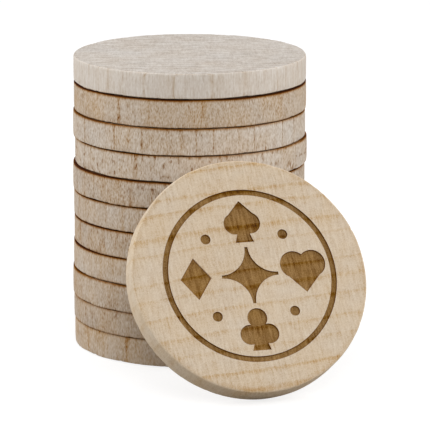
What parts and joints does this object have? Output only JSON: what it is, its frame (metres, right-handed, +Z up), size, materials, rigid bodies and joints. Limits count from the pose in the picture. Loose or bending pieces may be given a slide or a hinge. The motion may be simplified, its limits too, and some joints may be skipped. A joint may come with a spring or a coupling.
{
  "type": "game token",
  "caption": "Round wooden game tokens: a neat stack of plain ones, with an engraved one leaning on it. Each lifts off by itself.",
  "frame": {"origin": "centre of the underside of the bottom token of the stack", "axes": "+Z up along the stack, -Y to the front, where the engraved token leans, +X to the right"},
  "size_m": [0.0472, 0.0614, 0.0479],
  "materials": {
    "stack_wood": "sanded bare wood, pale greyish beige with fine flecks",
    "engraved_wood": "sanded bare wood, pale yellowish beige with thin growth lines and a brown engraved design"
  },
  "bodies": {
    "stack_token_01": {"stack_token_01": "stack_wood"},
    "stack_token_02": {"stack_token_02": "stack_wood"},
    "stack_token_03": {"stack_token_03": "stack_wood"},
    "stack_token_04": {"stack_token_04": "stack_wood"},
    "stack_token_05": {"stack_token_05": "stack_wood"},
    "stack_token_06": {"stack_token_06": "stack_wood"},
    "stack_token_07": {"stack_token_07": "stack_wood"},
    "stack_token_08": {"stack_token_08": "stack_wood"},
    "stack_token_09": {"stack_token_09": "stack_wood"},
    "stack_token_10": {"stack_token_10": "stack_wood"},
    "stack_token_11": {"stack_token_11": "stack_wood"},
    "engraved_token": {"engraved_token": "engraved_wood"}
  },
  "joints": [
    {"name": "lift_02", "type": "slide", "parent": "stack_token_01", "child": "stack_token_02", "axis": [0, 0, 1], "range_m": [0, 0.025]},
    {"name": "lift_03", "type": "slide", "parent": "stack_token_02", "child": "stack_token_03", "axis": [0, 0, 1], "range_m": [0, 0.025]},
    {"name": "lift_04", "type": "slide", "parent": "stack_token_03", "child": "stack_token_04", "axis": [0, 0, 1], "range_m": [0, 0.025]},
    {"name": "lift_05", "type": "slide", "parent": "stack_token_04", "child": "stack_token_05", "axis": [0, 0, 1], "range_m": [0, 0.025]},
    {"name": "lift_06", "type": "slide", "parent": "stack_token_05", "child": "stack_token_06", "axis": [0, 0, 1], "range_m": [0, 0.025]},
    {"name": "lift_07", "type": "slide", "parent": "stack_token_06", "child": "stack_token_07", "axis": [0, 0, 1], "range_m": [0, 0.025]},
    {"name": "lift_08", "type": "slide", "parent": "stack_token_07", "child": "stack_token_08", "axis": [0, 0, 1], "range_m": [0, 0.025]},
    {"name": "lift_09", "type": "slide", "parent": "stack_token_08", "child": "stack_token_09", "axis": [0, 0, 1], "range_m": [0, 0.025]},
    {"name": "lift_10", "type": "slide", "parent": "stack_token_09", "child": "stack_token_10", "axis": [0, 0, 1], "range_m": [0, 0.025]},
    {"name": "lift_11", "type": "slide", "parent": "stack_token_10", "child": "stack_token_11", "axis": [0, 0, 1], "range_m": [0, 0.025]},
    {"name": "pick_up_engraved", "type": "slide", "parent": "stack_token_01", "child": "engraved_token", "axis": [0.2535, -0.8188, 0.515], "range_m": [0, 0.05]}
  ]
}
